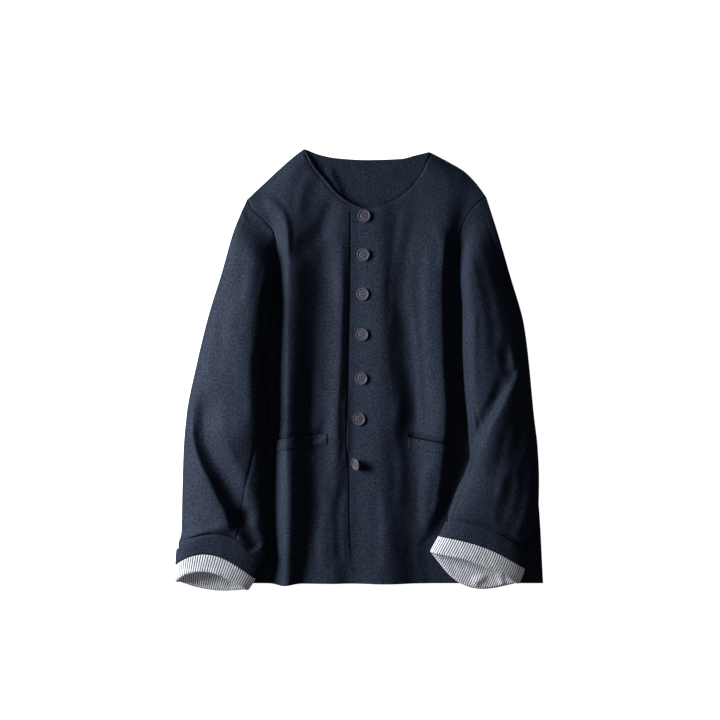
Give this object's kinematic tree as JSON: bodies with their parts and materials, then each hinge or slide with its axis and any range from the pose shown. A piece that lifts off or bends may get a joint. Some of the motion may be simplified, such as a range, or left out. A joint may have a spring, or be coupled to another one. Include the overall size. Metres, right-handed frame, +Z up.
{
  "type": "collarless linen jacket laid flat",
  "caption": "Collarless button-front linen jacket laid flat on its back, sleeves down, cuffs turned up to show a striped lining, with welt pockets.",
  "frame": {"origin": "on the surface that the jacket lies on, under the middle of its outline", "axes": "+X across, from the wearer's right sleeve to the left one; +Y from the hem to the neck; +Z up from the surface through the back, then the front"},
  "size_m": [0.5432, 0.6526, 0.043],
  "materials": {
    "linen": "dark navy slubby linen, matt, with a soft sheen on the folds",
    "striped_lining": "fine navy and white stripes on thin cotton",
    "button": "dark four-hole button with a raised rim"
  },
  "bodies": {
    "root": {"back": "linen", "front_right": "linen", "front_left": "linen", "sleeve_top_right": "linen", "sleeve_under_right": "linen", "cuff_band_right": "linen", "sleeve_top_left": "linen", "sleeve_under_left": "linen", "cuff_band_left": "linen", "welt_right": "linen", "welt_left": "linen", "cuff_lining_right": "striped_lining", "cuff_lining_left": "striped_lining", "button_1": "button", "button_2": "button", "button_3": "button", "button_4": "button", "button_5": "button", "button_6": "button", "button_7": "button"}
  },
  "joints": []
}
